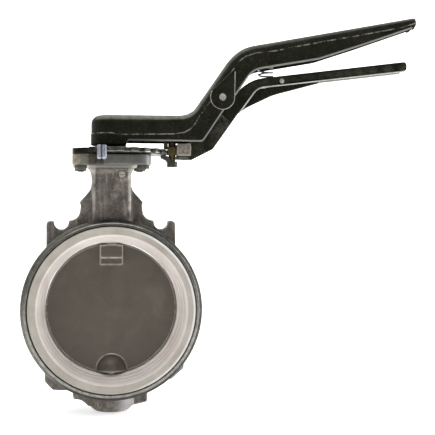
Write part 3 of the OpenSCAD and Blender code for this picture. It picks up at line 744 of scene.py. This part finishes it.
def make_casting():
    """The column, flange, ears, lugs and boss: one cast skin that runs into the ring."""
    bm = bmesh.new()
    # The right-hand outline, from the column down over the ear; its mirror image is the left
    saddle = arc_points((37.3, 64.6), 5.5, 180, 360, 14)
    side = [
        (14.4, 100, 0), (15.1, 89, 10), (24, 79.2, 0.8), (22.8, 77.2, 0), (24.2, 66.4, 7),
        (31.8, 65.9, 0.5), *[(x, z, 0) for x, z in saddle],
        (42.8, 65.7, 0.5), (48.2, 65.6, 3), (48.2, 40, 0)
    ]
    inner = [(x, z, 0) for x, z in arc_points((0, 0), 59, 44, 136, 23)]
    ears = [*side, *inner, *[(-x, z, r) for x, z, r in reversed(side)]]
    lower_left = [
        (-36, -46, 0), (-49.6, -36, 0), (-49.6, -54, 3), (-43.6, -60.6, 1), (-29.2, -61.2, 0),
        (-28.4, -67.6, 1), (-22.6, -68.4, 1), (-17, -73, 0), (-4, -73, 0), (-4, -59, 0), (-20, -56, 0)
    ]
    lower_right = [
        (36, -46, 0), (20, -56, 0), (4, -59, 0), (4, -73, 0), (17, -72.6, 0), (26.8, -70.6, 1.2),
        (26.8, -58, 0), (45, -54.2, 0), (54.6, -45.8, 1.5), (54.6, -28, 0)
    ]
    for outline in (ears, lower_left, lower_right):
        add_prism(bm, rounded(outline), -EAR_HALF_T, EAR_HALF_T)
    # The column, which spreads into the flange
    w, d = COLUMN_HALF_W, COLUMN_HALF_D
    add_tower(bm, [
        (60, w, d, 3), (98, w, d, 3), (101, 15.0, 14.3, 3.4), (103.6, 16.1, 15.5, 4),
        (105.4, 17.8, 17.5, 5), (107, 20, 19.6, 6)
    ])
    narrow, wide = (FLANGE_HALF - 0.4, FLANGE_HALF - 0.4, 9.6), (FLANGE_HALF, FLANGE_HALF, 10)
    add_tower(bm, [
        (FLANGE_LOW, *narrow), (FLANGE_LOW + 0.5, *wide),
        (FLANGE_TOP - 0.5, *wide), (FLANGE_TOP, *narrow)
    ])
    # The lower boss
    add_turned(bm, [
        (0, BOSS_LOW + 0.9), (8.5, BOSS_LOW + 0.9), (8.5, BOSS_LOW), (12.3, BOSS_LOW), (13.2, -76.6),
        (17.6, -72.4), (BOSS_R, -71.4), (BOSS_R, -59), (0, -59)
    ])
    # Raised pad round the column screw
    pad = [(0, -15.3), (4.4, -15.3), (5.2, -14.6), (5.6, -13), (0, -13)]
    add_turned(bm, pad, (7.6, 100.2), "Y", 32)
    piece = from_bmesh("body_casting", bm, "cast_body")
    remesh(piece, 0.75, 5)

    def lump(co):
        """Sand-cast roughness in mm. The flange's top and the boss's end face stay flat."""
        if co.z > (FLANGE_TOP - 0.4) * MM or co.z < (BOSS_LOW + 0.8) * MM:
            return 0.0
        return noise.fractal(co * 60, 0.7, 2.1, 4) * 0.16 + noise.noise(co * 420) * 0.05

    swell(piece, lump)
    shade(piece.data, 60)
    stands_for(piece, "valve_body", "cast_body", "body")


def funnel(y):
    """The radius of the seat's funnel at a depth in mm: it widens outwards in four faint waves."""
    t = (y - 8) / 19
    wave = (1 - math.cos(math.radians(1440 * t))) / 2
    return THROAT_R + 5.6 * t ** 0.8 + 0.5 * wave * (1 - t)


def make_seat():
    """The rubber seat: throat, funnel and lip on each side, with the back that fills the ring."""
    depths = [8 + 0.5 * k for k in range(36)]
    side = [
        (THROAT_R, 0), (THROAT_R, 4), (THROAT_R, 7.4), *[(funnel(y), y) for y in depths],
        (54.85, 26.3), (55.1, 26.6), (55.5, 26.78), (56, 26.78), (56.6, 26.7), (57.4, 26.62),
        (59.6, 26.62), (60.3, 26.8), (60.7, 26.85), (61.1, 26.7), (LIP_R, 26.3), (LIP_R, 18.04),
        (SEAT_R - 0.04, 18.04)
    ]
    profile = [*side, *[(r, -y) for r, y in reversed(side[1:])]]
    stands_for(lathe("seat_ring", profile, "seat_rubber"), "valve_body", "seat_rubber", "seat_liner")


# ---------------------------------------------------------------- disc

def make_disc():
    """The disc: a plate with a round rim, two hub blocks at the top and a dome at the bottom."""
    bm = bmesh.new()
    rim = arc_points((0, 0), DISC_R, 5.2, -5.2, 8)
    plate = [(0, DISC_HALF_T), (47.6, DISC_HALF_T), *rim, (47.6, -DISC_HALF_T), (0, -DISC_HALF_T)]
    add_turned(bm, plate, axis="Y", steps=160)
    # The hub blocks, as (y, z), drawn in at their two sides
    outline = [(4.0, 32.0), (5.2, 32.6), (9.6, 38.0), (10.0, 39.2), (10.0, 48.5), (0, 48.5), (0, 32.0)]
    for s in (-1, 1):
        rows = []
        for x, draw in ((-8.6, 0.4), (-8.2, 0), (8.2, 0), (8.6, 0.4)):
            ring = [(y - draw if y > 1 else 0, z + draw if z < 45 else z) for y, z in outline]
            rows.append([bm.verts.new((x * MM, s * y * MM, z * MM)) for y, z in ring])
        add_sides(bm, rows)
    dome = [(max(0.0, r), z) for r, z in arc_points((0, DOME_Z), DOME_R, 90, -90, 24)]
    add_turned(bm, dome, steps=48)
    piece = from_bmesh("disc_plate", bm, "disc_metal")
    remesh(piece, 0.55, 4)
    # Points near the disc's edge are set on the sphere of its own radius
    for v in piece.data.vertices:
        if v.co.length > (DISC_R - 0.65) * MM:
            v.co = v.co * (DISC_R * MM / v.co.length)
    shade(piece.data, 60)
    stands_for(piece, "rotor", "disc_metal", "disc")


# ---------------------------------------------------------------- handle

# The worn line along the handle's sides, as (x, z) in mm
RIDGE = [Vector(p) for p in (
    (-20, 131.2), (0, 131), (6, 129.8), (47, 130.6), (54, 131.8), (58.5, 134.4), (61.6, 137.4),
    (70.6, 152.6), (78.2, 164), (88.9, 179.3), (93.5, 185), (101, 190.2), (109, 192.9), (125, 195),
    (143, 199), (166, 203.7), (191.5, 208.6), (240, 218.5)
)]


def along(points, share):
    """The point at a share of a polyline's length."""
    lengths = [0.0]
    for a, b in zip(points, points[1:]):
        lengths.append(lengths[-1] + (b - a).length)
    want = share * lengths[-1]
    for i in range(1, len(points)):
        if lengths[i] >= want or i == len(points) - 1:
            t = (want - lengths[i - 1]) / max(1e-9, lengths[i] - lengths[i - 1])
            return points[i - 1].lerp(points[i], min(1.0, t))


def share_of(points, target):
    """The share of a polyline's length at its point nearest the target."""
    target = Vector(target)
    best, where, run = math.inf, 0.0, 0.0
    total = sum((b - a).length for a, b in zip(points, points[1:]))
    for a, b in zip(points, points[1:]):
        d = b - a
        t = max(0.0, min(1.0, (target - a).dot(d) / max(1e-12, d.length_squared)))
        gap = (a + d * t - target).length
        if gap < best:
            best, where = gap, (run + d.length * t) / total
        run += d.length
    return where


def between(x, *stops):
    """A value read off (x, value) stops with straight lines between them."""
    if x <= stops[0][0]:
        return stops[0][1]
    for (x0, v0), (x1, v1) in zip(stops, stops[1:]):
        if x <= x1:
            return v0 + (v1 - v0) * (x - x0) / (x1 - x0)
    return stops[-1][1]


def depth_to(line, start, direction):
    """How far a ray in the plane of (x, z) goes before it crosses a line."""
    for p, q in zip(line, line[1:]):
        d = q - p
        bend = direction.x * d.y - direction.y * d.x
        if abs(bend) > 1e-9:
            gap = p - start
            t = (gap.x * direction.y - gap.y * direction.x) / bend
            s = (gap.x * d.y - gap.y * d.x) / bend
            if 0 <= t <= 1 and s > 0:
                return s
    return 0.0


def half_width(x):
    """Half of the handle's width below its ridge."""
    return between(x, (50, HUB_HALF), (68, 12.6), (237, 9.8))


def across(half, share, extra, end=0.0):
    """How far a point of the section lies from the middle plane, on a side that lies at half."""
    if share is None:
        return 0.0
    if share == 1.0:
        return half + extra
    return (half - 9 - end) * share


def quarter(steps):
    """The (sine, cosine) of even steps over a right angle."""
    angles = (math.radians(90 * k / steps) for k in range(steps + 1))
    return [(math.sin(a), math.cos(a)) for a in angles]


def end_rounding(left, radius):
    """How far an end of the radius is drawn in, at a distance from its tip."""
    return radius - math.sqrt(radius ** 2 - max(0.0, radius - left) ** 2)


def handle_section(depth, radius, ridge, channel, end):
    """Half of the handle's section, from the top centre round to the channel's ceiling, as a list of
    (depth, share of the width, extra width, wear of the ridge, painted highlight of the lower rim).
    A share of None marks the centre line. channel 0 fills the section, and end draws the sides in."""
    inset, outer, inner, wall, bend = 0.3, 0.9, 0.5, 2.95, 2.0
    out = [(0.0, None, 0.0, 0, 0), (0.0, 0.5, 0.0, 0, 0)]
    # The shoulder
    for sine, cosine in quarter(8):
        out.append((radius * (1 - cosine), 1.0, -inset - radius * (1 - sine), 0, 0))
    # The ridge, below which the side stands out by the inset
    low = max(radius + 0.6, min(ridge, depth - 3.4))
    out += [
        (low - 0.5, 1.0, -inset, 0, 0), (low - 0.1, 1.0, -0.1, 1, 0), (low + 0.4, 1.0, 0.0, 1, 0),
        (low + 0.8, 1.0, 0.0, 0, 0), (depth - 1.5, 1.0, 0.0, 0, 0)
    ]
    # The lower rim, outside and inside
    for sine, cosine in quarter(4):
        out.append((depth - outer + outer * sine, 1.0, -outer * (1 - cosine), 0, channel))
    for sine, cosine in quarter(3):
        out.append((depth - inner + inner * cosine, 1.0, -2.3 - inner * sine, 0, 0))
    # The channel's wall and ceiling
    ceiling = depth - 0.8 - channel * (depth - 4.8)
    out.append((min(depth - 0.6, ceiling + 2.2), 1.0, -wall, 0, 0))
    for sine, cosine in quarter(3):
        out.append((ceiling + bend * (1 - sine), 1.0, -wall - bend * (1 - cosine), 0, 0))
    out += [(ceiling, 0.5, 0.0, 0, 0), (ceiling, None, 0.0, 0, 0)]
    return [
        (d, share, None if share is None else extra - end * share, worn, rim)
        for d, share, extra, worn, rim in out
    ]


def hub_rows():
    """The hub's round end, fanned about the stem, as rows of (x, y, z, ridge wear, rim highlight)."""
    section = handle_section(HUB_TOP - HUB_LOW, HUB_SHOULDER, HUB_TOP - HUB_RIDGE, 0.0, 0.0)
    steps = 24
    rows = []
    for k in range(steps + 1):
        a = math.radians(180 - 90 * k / steps)
        row = []
        for d, share, extra, worn, rim in section:
            r = across(HUB_HALF, share, extra)
            row.append((r * math.cos(a), r * math.sin(a), HUB_TOP - d, worn, rim))
        rows.append(row)
    return rows


def arm_rows():
    """The rest of the handle in the same kind of rows, from its top line to its underside."""
    top = rounded([(0, HUB_TOP, 0), (59.9, HUB_TOP, 18), (95.8, 196.6, 30), (*TIP_HIGH, 0)], 6)
    low = rounded([
        (0, ARM_LOW, 0), (68.4, ARM_LOW, 3), (84, 148.2, 6), (94.3, 161.4, 4), (106.8, 179.8, 16),
        (158, 189, 30), (192, 200.4, 60), (*TIP_LOW, 0)
    ], 8)
    # Points that face each other on the two lines
    pairs = [
        ((0, HUB_TOP), (0, ARM_LOW)), ((14, HUB_TOP), (14, ARM_LOW)), ((44, HUB_TOP), (55, ARM_LOW)),
        ((58, 148.0), (68.4, 126)), ((67, 155.4), (76.5, 137)), ((79.4, 173.2), (93.6, 161.2)),
        ((92.6, 189.9), (104, 177)), ((102, 197.7), (114, 181.2)), ((125, 202.2), (128, 183.8)),
        ((157, 208.5), (157, 189.2)), ((192, 215.3), (192, 200.5)), (TIP_HIGH, TIP_LOW)
    ]
    shares = [(share_of(top, a), share_of(low, b)) for a, b in pairs]
    shares[0], shares[-1] = (0.0, 0.0), (1.0, 1.0)
    solid_to, solid_from = 12, 233
    steps = 150
    rows = []
    for k in range(1, steps + 1):
        a, b = along(top, k / steps), along(low, between(k / steps, *shares))
        x = a.x
        if x < solid_to:
            b = Vector((b.x, HUB_LOW))
        # The grip's end is rounded in width, and less in height
        left = (top[-1] - a).length
        end, drop = end_rounding(left, 4), end_rounding(left, 3.5)
        a = a + (b - a).normalized() * drop * 0.7
        b = b + (a - b).normalized() * drop * 0.5
        depth = (b - a).length
        direction = (b - a) / depth
        shoulder = between(x, (40, HUB_SHOULDER), (62, 5.4), (120, 5.2), (237, 3.2))
        channel = 0.0 if x < solid_to or x > solid_from else 1.0
        section = handle_section(
            depth, min(shoulder, depth * 0.45), depth_to(RIDGE, a, direction), channel, end
        )
        row = []
        for d, share, extra, worn, rim in section:
            p = a + direction * d
            y = across(half_width(p.x), share, extra, end)
            row.append((p.x, max(0.0, y), p.y, worn, rim))
        rows.append(row)
    return rows


def make_handle():
    """The cast handle: hub, bend and hollow grip, whose mesh also says where its ridge is worn and
    where its lower rim carries a painted highlight.
    """
    rows = hub_rows() + arm_rows()
    bm = bmesh.new()
    ridge, rim = (bm.verts.layers.float.new(name) for name in ("ridge", "rim"))
    tips = []
    for s in (-1, 1):
        made = add_grid(bm, [[(x * MM, s * y * MM, z * MM) for x, y, z, _, _ in row] for row in rows])
        for verts, row in zip(made, rows):
            for v, point in zip(verts, row):
                v[ridge], v[rim] = point[3:]
        tips.append(made[-1])
    for i in range(len(tips[0]) - 1):
        bm.faces.new((tips[0][i], tips[0][i + 1], tips[1][i + 1], tips[1][i]))
    bmesh.ops.remove_doubles(bm, verts=bm.verts, dist=3e-6)
    bmesh.ops.dissolve_degenerate(bm, dist=1e-7, edges=bm.edges)
    piece = from_bmesh("handle_lever", bm, "handle_paint", 50)
    # The recess over the stem
    tool = bmesh.new()
    add_turned(tool, [(0, 138.6), (6.2, 138.6), (6.2, 150), (0, 150)])
    cut(piece, from_bmesh("tool", tool, "handle_paint"))
    shade(piece.data, 50)
    stands_for(piece, "rotor", "black_paint", "handle")


def make_pads():
    """Raised teardrop pads on the handle's sides, which carry the trigger's pivot pin."""
    outline = [*arc_points(PIVOT, 9.3, 145, 353, 26), (92.9, 178), (93.1, 180.5), (91.8, 179.6)]
    bm = bmesh.new()
    for y0, y1 in ((-PAD_OUT, -PAD_IN), (PAD_IN, PAD_OUT)):
        add_prism(bm, outline, y0, y1)
    piece = from_bmesh("pivot_pads", bm, "black_paint")
    add_bevel(piece, 0.35, 3, 40)
    stands_for(piece, "rotor", "black_paint")


def make_beads(name, path, away, radius, body):
    """A thin light line on both sides of the handle or the trigger, along a path of (x, z) in mm: a
    painted highlight on the trigger's lower edge, and an edge line round the pads.
    """
    sides = 8
    bm = bmesh.new()
    for y in (-away, away):
        rows = []
        for i, p in enumerate(path):
            before, after = path[max(0, i - 1)], path[min(len(path) - 1, i + 1)]
            side = unit(Vector((before.y - after.y, after.x - before.x)))
            row = []
            for k in range(sides + 1):
                a = 2 * math.pi * k / sides
                q = p + side * radius * math.cos(a)
                row.append((q.x * MM, (y + radius * math.sin(a)) * MM, q.y * MM))
            rows.append(row)
        add_tube(bm, rows)
    stands_for(from_bmesh(name, bm, "edge_wear_and_highlight", 60), body, "black_paint")


# ---------------------------------------------------------------- spring and latch

def make_spring():
    """The trigger's coil spring, in one fixed shape; nothing here squashes it when the trigger is
    squeezed.
    """
    x0, low, high, wire, coil, turns = 118.5, 176.2, 195.2, 0.65, 5.55, 5
    steps, sides = 30 * turns, 12
    rows = []
    for i in range(steps + 1):
        a = 2 * math.pi * turns * i / steps
        # The end turns lie closer together, as on a ground spring
        lift = between(i / steps, (0, 0), (0.12, 0.06), (0.88, 0.94), (1, 1))
        z = low + wire + (high - low - 2 * wire) * lift
        row = []
        for j in range(sides + 1):
            b = 2 * math.pi * j / sides
            r = coil + wire * math.cos(b)
            up = z + wire * math.sin(b)
            row.append(((x0 + r * math.cos(a)) * MM, r * math.sin(a) * MM, up * MM))
        rows.append(row)
    bm = bmesh.new()
    add_tube(bm, rows)
    piece = from_bmesh("return_spring", bm, "spring_steel", 60)
    stands_for(piece, "rotor", "bright_steel", "trigger_spring")
    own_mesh(piece)


def make_notch_plate():
    """The toothed plate, with softly rounded edges."""
    piece = from_bmesh("notch_plate_piece", node_shape("notch_plate"), "plate_zinc")
    remesh(piece, 0.36, 2)
    shade(piece.data, 60)
    stands_for(piece, "valve_body", "zinc_steel", "notch_plate")


def make_block():
    """The latch's cast block, with worn corners and lumpy faces."""
    piece = softened("latch_block", "rough_cast", 0.6)
    apply_modifiers(piece)
    remesh(piece, 0.3, 2)
    swell(piece, lambda co: noise.noise(co * 900) * 0.16 - 0.12)
    shade(piece.data, 60)
    stands_for(piece, "trigger", "rough_cast", "latch_block")


make_ring()
make_casting()
make_seat()
make_disc()
make_handle()
make_pads()
pad_edge = [Vector(p) for p in (*arc_points(PIVOT, 9.1, 150, 354, 34), (92.6, 168), (92.75, 178))]
make_beads("pivot_pad_edges", pad_edge, PAD_OUT - 0.25, 0.3, "rotor")
# The light bead along the trigger's lower edge is a painted highlight
bar_edge = rounded([(97, 147.7, 0), (111.2, 167.0, 12), (227.2, 181.7, 0)], 5)
make_beads("trigger_edges", bar_edge, 6.4, 0.55, "trigger")
make_spring()
make_block()
make_notch_plate()

# What keeps its CAD shape with rounded edges, as (node, look, rounding in mm, body)
SOFTENED = [
    ("stop_pins", "pin_steel", 0.2, "valve_body"),
    ("flange_screws", "dull_steel", 0.25, "valve_body"),
    ("flange_nuts", "dull_steel", 0.35, "valve_body"),
    ("column_screw", "bright_steel", 0.3, "valve_body"),
    ("bottom_plug", "turned_steel", 0.3, "valve_body"),
    ("disc_set_screws", "dull_steel", 0.2, "rotor"),
    ("thrust_washer", "zinc_steel", 0.3, "rotor"),
    ("handle_screw", "black_screw", 0.4, "rotor"),
    ("pivot_pin", "bright_steel", 0.2, "rotor"),
    ("trigger", "black_paint", 0.5, "trigger"),
    ("trigger_rivet", "bright_steel", 0.3, "trigger"),
    ("latch_tooth", "yellow_zinc", 0.3, "trigger"),
    ("latch_bolt", "yellow_zinc", 0.3, "trigger"),
    ("latch_keeper", "zinc_steel", 0.3, "trigger"),
]
slots = {s["node"]: s["material_slot"] for s in frame["record"]["subparts"]}
for node, look, width, body in SOFTENED:
    stands_for(softened(node, look, width), body, slots[node], node)

# The CAD nodes themselves get the look of their material slot
for name, node in nodes.items():
    node.data.materials.clear()
    node.data.materials.append(LOOKS[slots[name]])


# ---------------------------------------------------------------- studio

def add_light(name, size, power, place, target):
    """A rectangular area light. Sizes and places are in metres."""
    data = bpy.data.lights.new(name, "AREA")
    data.shape = "RECTANGLE"
    data.size, data.size_y = size
    data.energy = power
    light = bpy.data.objects.new(name, data)
    bpy.context.scene.collection.objects.link(light)
    light.location = place
    light.rotation_euler = (Vector(target) - Vector(place)).to_track_quat("-Z", "Y").to_euler()


def make_studio():
    """A white floor that curves up into a wall, five area lights and a dim white world."""
    low = cad_low.z - 0.0006
    half, back, bend = 9.0, 0.9, 0.8
    curve = arc_points((back, low + bend), bend, -90, 0, 12)
    profile = [(-half, low), *curve, (back + bend, low + 4 * bend)]
    bm = bmesh.new()
    add_grid(bm, [[(x, y, z) for y, z in profile] for x in (-half, half)])
    sweep = from_bmesh("studio_sweep", bm, "studio_floor")

    add_light("key_left", (0.9, 1.2), 2, (-1.1, -0.7, 0.75), (0, 0, 0.05))
    add_light("front", (1.4, 0.8), 10, (-0.1, -1.2, 1.35), (0, 0, 0.0))
    add_light("strip_right", (0.35, 1.2), 9, (1.2, -0.05, 0.5), (0.03, 0, 0.06))
    add_light("top", (1.4, 1.0), 10, (0.05, 0.1, 1.2), (0.05, 0, 0))
    add_light("wall", (2.4, 1.2), 30, (0, 0.35, 1.5), (0, 1.7, 0.5))

    world = bpy.data.worlds.new("studio")
    bpy.context.scene.world = world
    world.use_nodes = True
    back_light = world.node_tree.nodes["Background"]
    back_light.inputs["Color"].default_value = (1, 1, 1, 1)
    back_light.inputs["Strength"].default_value = 0.14


def make_camera():
    """The camera, which looks a little down and a little to the right, as in the photo."""
    data = bpy.data.cameras.new("camera")
    data.sensor_width = 36
    data.lens = 82.7586
    data.clip_start, data.clip_end = 0.01, 20
    camera = bpy.data.objects.new("camera", data)
    bpy.context.scene.collection.objects.link(camera)
    camera.location = (-0.022, -0.760, 0.072)
    camera.rotation_euler = (math.radians(90 - 0.3085), 0, math.radians(-7.7289))
    bpy.context.scene.camera = camera


make_studio()
make_camera()
bpy.context.scene.view_settings.view_transform = "Standard"
